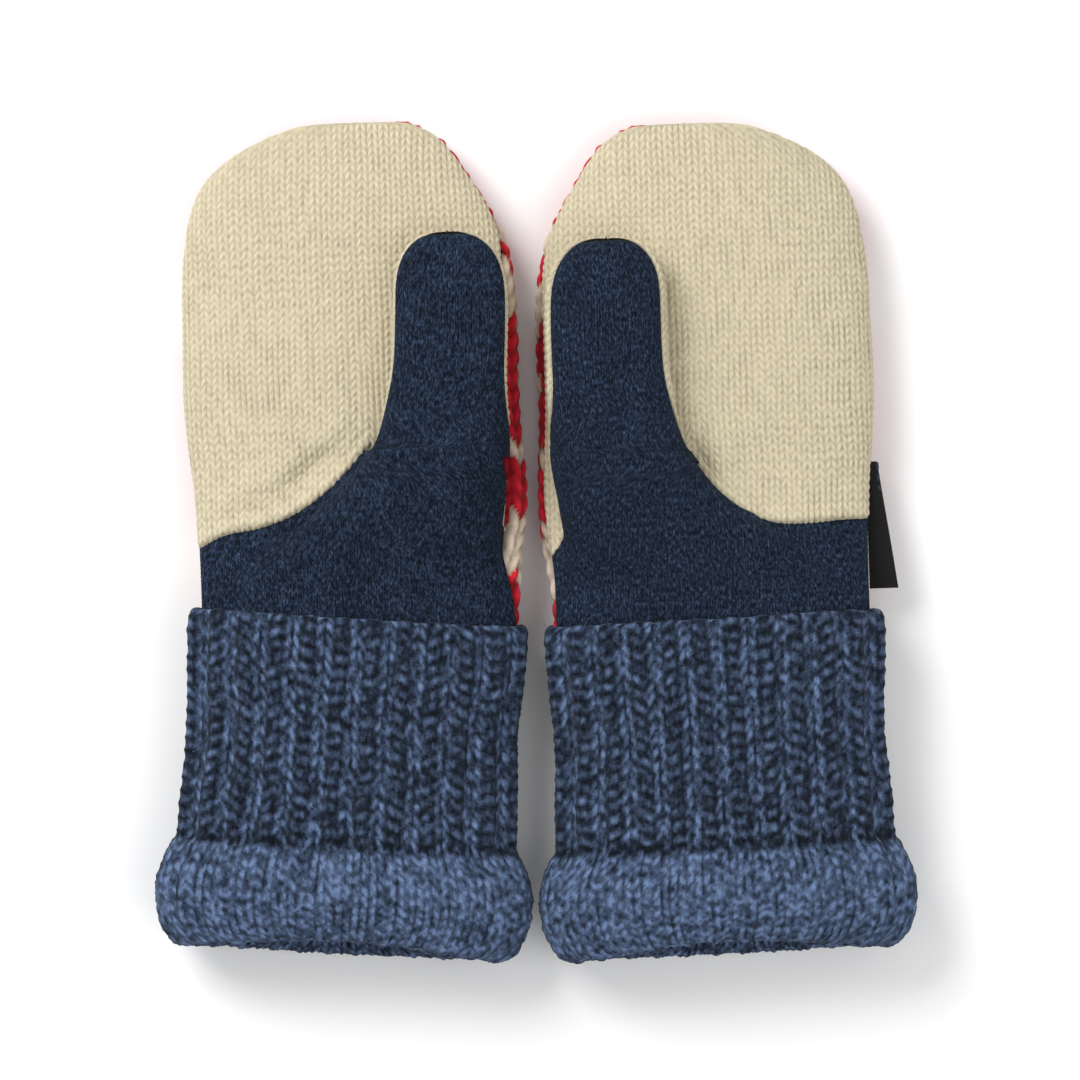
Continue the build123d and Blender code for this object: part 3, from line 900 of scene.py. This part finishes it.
def cuff_rows(path, columns):
    """Closed rings of the cuff's wall, seen as rows from its inside top to its inside bottom."""
    theta = np.linspace(math.pi, -math.pi, 721)
    ox, oz = oval(theta)
    rows = []
    for y, out in path:
        w = 61.7 + out
        d = 18.0 + out * (0.5 if out > 0 else 0.64)
        waist = 1.6 * math.exp(-((y + 42) / 22) ** 2)
        x = (w - waist) * ox
        z = CUFF_Z + d * oz
        ring = np.stack([x, np.full_like(x, y), z], -1)
        rows.append(even_ring(ring, columns))
    return np.array(rows)


def turned_cuff(side, p):
    path, along = cuff_path(p)
    columns = int(276 / p.cuff_mesh)
    rows = cuff_rows(path, columns)
    share = np.linspace(0, 1, columns + 1)
    girth = 276.0
    u = np.repeat((share * girth)[None, :], len(path), 0)
    v = np.repeat(along[:, None], columns + 1, 1)
    bow = np.sin(np.pi * np.clip(share * 2, 0, 1)) ** 1.5
    bow -= 0.25 * np.sin(np.pi * np.clip(share * 2 - 1, 0, 1))
    arch = 5.5 * smoothstep(98, 121, -path[:, 0])[:, None] * bow[None, :]
    rows[..., 1] += arch
    slope = 1.1 * soft_noise(np.stack([rows[..., 0] / 40, rows[..., 1] / 60], -1), 1.0, 5.0 * side.mirror)
    rows[..., 1] += slope * np.exp(-((path[:, 0]) / 20) ** 2)[:, None]
    normal = normals_of(rows)
    in_roll = smoothstep(80, 84, -path[:, 0])[:, None] + 0 * u
    wu = u + 1.5 * ring_noise(share, v, girth / 15, 20.0, 41.0 + side.mirror)
    pitch = girth / p.rib_count
    off = (wu / pitch - np.round(wu / pitch)) * pitch  # mm from the middle of the nearest rib
    rib = (0.5 + 0.5 * np.cos(2 * np.pi * off / pitch)) ** 0.8
    h = np.abs(off) / (0.27 * pitch)
    phase = v / p.cuff_row - 0.9 * h + 0.12 * ring_noise(share, v, girth / 9, 12.0, 81.0)
    leg = np.sqrt(np.clip(1 - (2 * h - 1) ** 2, 0, 1)) * (h < 1)
    vees = leg * (0.2 + 0.8 * np.abs(np.sin(np.pi * phase)) ** 0.65)
    between = np.clip(1 - ((pitch / 2 - np.abs(off)) / (0.25 * pitch)) ** 2, 0, 1) ** 0.5
    purls = between * np.abs(np.sin(np.pi * (v / p.cuff_row + 0.35 * np.sin(wu / 3.1)))) ** 0.8
    fine = stitches(wu, v, pitch / 2, 0.85 * p.cuff_row, lean=0.9)
    lump = 0.5 * ring_noise(share, v, girth / 5.0, 4.5, 51.0 + side.mirror)
    ribbed = p.rib_relief * rib + p.cuff_stitch_relief * vees + 0.5 * p.cuff_stitch_relief * purls
    rolled = 0.25 * p.rib_relief * (rib - 0.5) + p.cuff_stitch_relief * fine + 0.4
    relief = ribbed * (1 - in_roll) + rolled * in_roll + lump - 1.2
    crest = np.argmax(path[:, 0] + path[:, 1] * 0.2)
    calm = np.where(np.arange(len(path)) < crest, 0.2, 1.0)
    calm *= 0.35 + 0.65 * smoothstep(0, 9, np.abs(along - along[crest]))
    relief = relief * calm[:, None]
    flat_below = smoothstep(1.5, 5.0, rows[..., 2])
    points = rows + normal * (relief * (0.4 + 0.6 * flat_below))[..., None]
    points[..., 2] = np.where(points[..., 2] < 0.3, 0.3 + (points[..., 2] - 0.3) * 0.2, points[..., 2])
    points[:, -1] = points[:, 0]
    marl = 0.5 + 0.9 * ring_noise(share, v, girth / 2.2, 3.0, 61.0 + side.mirror)
    streak = ring_noise(share, v, girth / 1.2, 6.0, 71.0 + side.mirror)
    # Painted shade in the stitch gaps and painted light on the crests of ribs and stitches, over the marled
    # yarn's own flecks, on the rib and on the roll.
    in_ribs = -0.02 + (0.74 * vees + 0.56 * purls) * (0.30 + 1.15 * marl) + 0.06 * rib
    in_fold = 0.06 + (0.66 * fine + 0.10) * (0.45 + 1.05 * marl)
    # Painted shade in the crease at the top of the roll and on the inner wall inside the cuff's mouth.
    crease_and_mouth_shade = np.exp(-((path[:, 0] + 81.5) / 2.2) ** 2) * (path[:, 1] > -2)
    crease_and_mouth_shade += 0.6 * smoothstep(4, 9, -path[:, 1])
    shade_and_tone = in_ribs * (1 - in_roll) + in_fold * in_roll + 0.12 * streak - 0.22 * crease_and_mouth_shade[:, None]
    shade_and_tone = np.clip(shade_and_tone, 0, 1)
    shade_and_tone[:, -1] = shade_and_tone[:, 0]
    obj = make_sheet(f"{side.name}_turned_cuff", side.cuff(points), np.stack([u, v], -1), side.mirror < 0,
                     closed=True, shade_and_tone=shade_and_tone)
    dress(obj, cuff_wool(), "cuff_wool", side.body("cuff_turnback"), side.body("cuff_seam_thread"))
    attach(obj, side.body("turnback"))
    return side.cuff(points), normal


def ring_noise(share, v, around, scale_v, seed):
    """Noise that meets itself round a closed ring."""
    a = share * 2 * math.pi
    radius = around / (2 * math.pi)
    x = np.repeat((radius * np.cos(a))[None, :], v.shape[0], 0)
    y = np.repeat((radius * np.sin(a))[None, :], v.shape[0], 0)
    return soft_noise(np.stack([x, y, v / scale_v], -1), 1.0, seed)


def sleeve(side, p):
    """The cuff's inner layer, which shows in the mouth and when the cuff is turned down."""
    ys = np.linspace(-9, -108, 100)
    theta = np.linspace(math.pi, -math.pi, 401)
    ox, oz = oval(theta)
    columns = 360
    walls = []
    for inset, order in ((0.2, ys), (3.6, ys[::-1])):
        for y in order:
            w, d = 56.6 - inset, 12.8 - inset
            ring = np.stack([w * ox, np.full_like(ox, y), CUFF_Z + d * oz], -1)
            walls.append(even_ring(ring, columns))
    rows = np.array(walls)
    share = np.linspace(0, 1, columns + 1)
    u = np.repeat((share * 250)[None, :], len(rows), 0)
    v = np.repeat(np.arange(len(rows))[:, None] * 1.0, columns + 1, 1)
    pitch = 250 / p.rib_count
    relief = 0.25 + 0.25 * np.cos(2 * np.pi * u / pitch) + 0.35 * stitches(u, v, pitch / 2, p.cuff_row)
    points = rows + normals_of(rows) * (relief - 0.6)[..., None]
    points[:, -1] = points[:, 0]
    # Painted shade between the ribs and stitches, over random tone in the yarn.
    shade_and_tone = np.clip(0.2 + 0.5 * relief + 0.35 * ring_noise(share, v, 100, 3.4, 80.0), 0, 1)
    shade_and_tone[:, -1] = shade_and_tone[:, 0]
    obj = make_sheet(f"{side.name}_inner_cuff", side.cuff(points), np.stack([u, v], -1), side.mirror < 0,
                     closed=True, shade_and_tone=shade_and_tone)
    dress(obj, sleeve_wool(), "cuff_wool", side.body("cuff_sleeve"), side.body("wrist_seam_thread"))
    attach(obj, side.body("sleeve"))


# ---- fibres, seams and the label ----
def fibres(name, points, normals, spots, length, width, seed, lie=0.75):
    """Loose wool fibres: thin bent strands that stand a little off the cloth."""
    random = np.random.default_rng(seed)
    curve = bpy.data.curves.new(name, "CURVE")
    curve.dimensions = "3D"
    curve.bevel_depth = width / 2
    curve.bevel_resolution = 0
    curve.use_fill_caps = False
    columns = points.shape[1]
    first, last, count = spots
    for i, j in zip(random.integers(first, last, count), random.integers(1, columns - 1, count)):
        start, n = points[i, j], normals[i, j]
        along = random.normal(size=3)
        along -= n * along.dot(n)
        along /= np.linalg.norm(along) + 1e-9
        reach = length * random.uniform(0.4, 1.0)
        turn = np.cross(n, along) * random.uniform(-0.5, 0.5)
        spline = curve.splines.new("POLY")
        spline.points.add(4)
        for k in range(5):
            t = k / 4
            lift = (1 - lie) * reach * math.sin(math.pi * t * 0.8) + 0.0002
            place = start + along * reach * t * lie + turn * reach * t * t + n * lift
            spline.points[k].co = (*place, 1)
            spline.points[k].radius = 1 - 0.6 * t
    source = add_object(name + "_lines", curve)
    bpy.context.view_layer.update()
    mesh = bpy.data.meshes.new_from_object(source.evaluated_get(bpy.context.evaluated_depsgraph_get()))
    bpy.data.objects.remove(source)
    mesh.name = name
    if not mesh.uv_layers:
        mesh.uv_layers.new(name="cloth")
    return add_object(name, mesh)


def fibre_material(name, colour):
    material, tree, shader = nodes_for(name, 0.8, 0.4, (1, 1, 1))
    if tree is None:
        return material
    coord = node(tree, "ShaderNodeTexCoord").outputs["Object"]
    speckle = node(tree, "ShaderNodeTexNoise", coord)
    speckle.inputs["Scale"].default_value = 220.0
    base = np.array(colour)
    tree.links.new(tones(tree, speckle.outputs[0], [(0.35, base * 0.45), (0.65, base * 1.5)]),
                   shader.inputs["Base Color"])
    return material


def label(side, p):
    """Plain black ribbon folded in two and sewn in askew, so that its lower end stands further out."""
    length, rows, inner = 46.0, 70, -57.2
    y = np.linspace(8.6, 8.6 + length, rows)
    outer = track([(8.6, -67.4), (31, -64.4), (54.6, -61.2)], y)
    t = np.concatenate([np.linspace(0, 1, 22), np.linspace(1, 0, 22)])
    side_of_fold = np.repeat([1.0, -1.0], 22) * np.minimum(1, (1.02 - t) / 0.06) ** 0.5
    curl = 0.9 * np.sin((y - 8.6) / length * math.pi * 1.3 + 0.4)
    x = inner + (outer - inner)[:, None] * t[None, :]
    z = HAND_Z + 0.4 + 0.45 * side_of_fold[None, :] + curl[:, None] * t[None, :] ** 1.6
    placed = np.stack([x, np.repeat(y[:, None], 44, 1), z], -1)
    reach = (inner - outer)[:, None] * t[None, :]
    across = np.where(side_of_fold > 0, reach, 2 * reach.max() - reach)
    uv = np.stack([across, placed[..., 1]], -1)
    obj = make_sheet(f"{side.name}_label_ribbon", side.hand(placed), uv, side.mirror > 0)
    thick = obj.modifiers.new("ply", "SOLIDIFY")
    thick.thickness = 0.35 * MM
    thick.offset = 0
    dress(obj, ribbon_material(), "label_ribbon", side.body("label"))
    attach(obj, side.body("label"))
    stitches_node = frame["nodes"][side.body("label_stitches")]
    stitches_node.data.materials.clear()
    stitches_node.data.materials.append(thread_material())


def seam_cord(side, name, points, radius, blend, nodes):
    """Overlocked seam edge between two panels: a thin twisted cord laid in the groove."""
    rows, around = len(points), 8
    tangent = np.gradient(points, axis=0)
    tangent /= np.linalg.norm(tangent, axis=1, keepdims=True) + 1e-9
    up = np.array([0, 0, 1.0])
    across = np.cross(tangent, up)
    across /= np.linalg.norm(across, axis=1, keepdims=True) + 1e-9
    lift = np.cross(across, tangent)
    a = np.linspace(0, 2 * math.pi, around + 1)
    arc = np.concatenate([[0], np.cumsum(np.linalg.norm(np.diff(points, axis=0), axis=1))])
    swell = radius * (1 + 0.22 * np.sin(arc / 1.3 * math.pi))
    ring = across[:, None, :] * np.cos(a)[None, :, None] + lift[:, None, :] * np.sin(a)[None, :, None]
    grid = points[:, None, :] + ring * swell[:, None, None]
    uv = np.stack([np.repeat((a * radius)[None, :], rows, 0), np.repeat(arc[:, None], around + 1, 1)], -1)
    obj = make_sheet(f"{side.name}_{name}", side.hand(grid), uv, side.mirror > 0, closed=True)
    dress(obj, thread_material(), "sewing_thread", *nodes)
    blend(side, obj)


def seams(side, p):
    """The side seam round the hand."""
    ys = HAND_ROWS[HAND_ROWS > -8]
    outer, inner = [], []
    for y in ys:
        cx, cz, w, d = (float(a) for a in pocket_section(y))
        lift = float(seam_lift(side, y))
        ox, oz = oval(np.array([math.pi, lift]))
        outer.append((cx + (w - 1.6) * ox[0], min(y, HAND_LENGTH - 2.4), cz))
        inner.append((cx + (w - 1.6) * ox[1], min(y, HAND_LENGTH - 2.4), cz + (d - 1.6) * oz[1]))
    line = np.array(outer + inner[::-1])
    nodes = [side.body("side_seam_thread"), side.body("side_seam_thread_tip")]
    seam_cord(side, "side_seam", line, 0.5, finger_blend, nodes)


# ---- settings, operators and the panel ----
def millimetres(name, description, default, low, high):
    return FloatProperty(name=name, description=description + " in mm", default=default, min=low, max=high)


def colour(name, description, default):
    return FloatVectorProperty(name=name, description=description, subtype="COLOR", size=3, default=default)


class MittenSettings(bpy.types.PropertyGroup):
    """Stitch sizes in millimetres and yarn colours."""

    cream_wale: millimetres("Palm stitch width", "Width of one palm stitch", 4.2, 2, 8)
    cream_row: millimetres("Palm stitch height", "Height of one palm stitch", 3.0, 1.5, 8)
    cream_relief: millimetres("Palm relief", "How far palm stitches stand out", 0.95, 0, 2)
    cream_mesh: millimetres("Palm mesh size", "Mesh spacing of the cream knit", 0.6, 0.4, 3)
    navy_wale: millimetres("Jersey stitch width", "Width of one jersey stitch", 1.9, 1, 4)
    navy_row: millimetres("Jersey stitch height", "Height of one jersey stitch", 1.5, 1, 4)
    navy_relief: millimetres("Jersey relief", "How far jersey stitches stand out", 0.34, 0, 1)
    navy_mesh: millimetres("Jersey mesh size", "Mesh spacing of the jersey", 0.5, 0.35, 3)
    back_wale: millimetres("Back stitch width", "Width of one chunky stitch", 8.6, 4, 14)
    back_row: millimetres("Back stitch height", "Height of one chunky stitch", 6.6, 4, 14)
    back_relief: millimetres("Back relief", "How far chunky stitches stand out", 2.0, 0, 4)
    back_mesh: millimetres("Back mesh size", "Mesh spacing of the chunky knit", 0.9, 0.5, 3)
    rib_count: IntProperty(name="Ribs", description="Ribs round each cuff", default=24, min=12, max=48)
    rib_relief: millimetres("Rib relief", "How far ribs stand out", 2.3, 0, 5)
    cuff_row: millimetres("Cuff stitch height", "Height of one cuff stitch", 4.8, 2, 10)
    cuff_stitch_relief: millimetres("Cuff stitch relief", "How far cuff stitches stand out", 1.2, 0, 3)
    cuff_mesh: millimetres("Cuff mesh size", "Mesh spacing of the cuff", 0.9, 0.6, 3)
    lip: millimetres("Seam lip", "Height of the roll of cloth along the palm seam", 2.0, 0, 5)
    cream: colour("Cream wool", "Palm yarn", (0.57, 0.505, 0.355))
    navy: colour("Navy jersey", "Thumb and lower palm yarn", (0.0115, 0.0185, 0.034))
    denim: colour("Denim wool", "Cuff yarn", (0.041, 0.061, 0.108))
    red: colour("Red wool", "Back yarn", (0.62, 0.02, 0.036))
    back_cream: colour("Off-white wool", "Second yarn of the back", (0.68, 0.56, 0.44))


def cuffs(side, p):
    points, normals = turned_cuff(side, p)
    normals = side.cuff(normals) - side.cuff(np.zeros_like(normals))
    normals /= np.linalg.norm(normals, axis=-1, keepdims=True) + 1e-9
    rows = points.shape[0]
    spots = (int(0.12 * rows), int(0.9 * rows), 2600)
    fuzz = fibres(f"{side.name}_cuff_fibres", points, normals, spots, 0.007, 0.00010, 100 + side.mirror)
    fuzz.data.materials.clear()
    fuzz.data.materials.append(fibre_material("cuff_fibre", (0.11, 0.16, 0.26)))
    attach(fuzz, side.body("turnback"))


def label_on_left(side, p):
    if side.name == "left":
        label(side, p)


def build_on_both(context, build):
    for side in SIDES:
        build(side, context.scene.mittens)
    return {"FINISHED"}


class MITTENS_OT_backs(bpy.types.Operator):
    """Knits the chunky colourwork back of each hand"""

    bl_idname = "mittens.backs"
    bl_label = "Backs"

    def execute(self, context):
        return build_on_both(context, back_panels)


class MITTENS_OT_upper_palms(bpy.types.Operator):
    """Knits the cream palm and fingertips"""

    bl_idname = "mittens.upper_palms"
    bl_label = "Upper palms"

    def execute(self, context):
        return build_on_both(context, upper_palm)


class MITTENS_OT_lower_palms(bpy.types.Operator):
    """Knits the navy lower palm with the thumb's root"""

    bl_idname = "mittens.lower_palms"
    bl_label = "Lower palms"

    def execute(self, context):
        return build_on_both(context, lower_palm)


class MITTENS_OT_thumbs(bpy.types.Operator):
    """Knits the navy front and cream back of each thumb"""

    bl_idname = "mittens.thumbs"
    bl_label = "Thumbs"

    def execute(self, context):
        return build_on_both(context, thumb)


class MITTENS_OT_linings(bpy.types.Operator):
    """Makes the fleece linings"""

    bl_idname = "mittens.linings"
    bl_label = "Linings"

    def execute(self, context):
        return build_on_both(context, lining)


class MITTENS_OT_seams(bpy.types.Operator):
    """Lays the seam round each hand"""

    bl_idname = "mittens.seams"
    bl_label = "Seams"

    def execute(self, context):
        return build_on_both(context, seams)


class MITTENS_OT_inner_cuffs(bpy.types.Operator):
    """Knits the inner layer of each cuff"""

    bl_idname = "mittens.inner_cuffs"
    bl_label = "Inner cuffs"

    def execute(self, context):
        return build_on_both(context, sleeve)


class MITTENS_OT_turned_cuffs(bpy.types.Operator):
    """Knits the turned-back ribbed cuffs"""

    bl_idname = "mittens.turned_cuffs"
    bl_label = "Turned-back cuffs"

    def execute(self, context):
        return build_on_both(context, cuffs)


class MITTENS_OT_labels(bpy.types.Operator):
    """Folds the blank ribbon label"""

    bl_idname = "mittens.labels"
    bl_label = "Label"

    def execute(self, context):
        return build_on_both(context, label_on_left)


class MITTENS_OT_stage(bpy.types.Operator):
    """Makes the pale floor, the soft studio light and the camera"""

    bl_idname = "mittens.stage"
    bl_label = "Stage"

    def execute(self, context):
        bm = bmesh.new()
        bmesh.ops.create_grid(bm, x_segments=1, y_segments=1, size=3.0)
        mesh = bpy.data.meshes.new("floor")
        bm.to_mesh(mesh)
        bm.free()
        floor = add_object("floor", mesh)
        material = bpy.data.materials.new("pale_floor")
        material.use_nodes = True
        shader = material.node_tree.nodes["Principled BSDF"]
        shader.inputs["Base Color"].default_value = (0.93, 0.93, 0.93, 1)
        shader.inputs["Roughness"].default_value = 0.9
        floor.data.materials.append(material)
        floor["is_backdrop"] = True
        context.scene.view_settings.view_transform = "Standard"
        world = bpy.data.worlds.new("studio")
        context.scene.world = world
        world.use_nodes = True
        background = world.node_tree.nodes["Background"]
        background.inputs[0].default_value = (1.0, 1.0, 1.0, 1)
        background.inputs[1].default_value = 0.62
        lamps = (("key", (-0.9, 0.9, 1.2), 0.9, 24), ("fill", (0.9, -0.5, 1.3), 1.4, 8))
        for name, place, size, power in lamps:
            light = bpy.data.lights.new(name, "AREA")
            light.size = size
            light.energy = power
            lamp = add_object(name, light)
            lamp.location = place
            lamp.rotation_euler = (-Vector(place)).to_track_quat("-Z", "Y").to_euler()
        camera = bpy.data.cameras.new("camera")
        camera.sensor_width = 36.0
        distance = 1.8
        camera.lens = 36.0 * distance / 0.3888
        viewer = add_object("camera", camera)
        viewer.location = (0.0014, -0.0009, distance + 0.025)
        context.scene.camera = viewer
        return {"FINISHED"}


OPERATORS = [
    MITTENS_OT_backs,
    MITTENS_OT_upper_palms,
    MITTENS_OT_lower_palms,
    MITTENS_OT_thumbs,
    MITTENS_OT_linings,
    MITTENS_OT_seams,
    MITTENS_OT_inner_cuffs,
    MITTENS_OT_turned_cuffs,
    MITTENS_OT_labels,
    MITTENS_OT_stage,
]


class MITTENS_PT_panel(bpy.types.Panel):
    """Lists the pieces of the mittens"""

    bl_idname = "MITTENS_PT_panel"
    bl_label = "Mittens"
    bl_space_type = "VIEW_3D"
    bl_region_type = "UI"
    bl_category = "Mittens"

    def draw(self, context):
        for name in MittenSettings.__annotations__:
            self.layout.prop(context.scene.mittens, name)
        for operator in OPERATORS:
            self.layout.operator(operator.bl_idname)


CLASSES = [MittenSettings, *OPERATORS, MITTENS_PT_panel]


def register():
    for item in CLASSES:
        bpy.utils.register_class(item)
    bpy.types.Scene.mittens = PointerProperty(type=MittenSettings)


def unregister():
    del bpy.types.Scene.mittens
    for item in reversed(CLASSES):
        bpy.utils.unregister_class(item)


def main():
    register()
    for operator in OPERATORS:
        getattr(bpy.ops.mittens, operator.bl_idname.split(".")[1])()
    boxes = {"cad": cad_box, "visual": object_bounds()}
    boxes = {name: [[float(x) for x in corner] for corner in box] for name, box in boxes.items()}


if __name__ == "__main__":
    main()
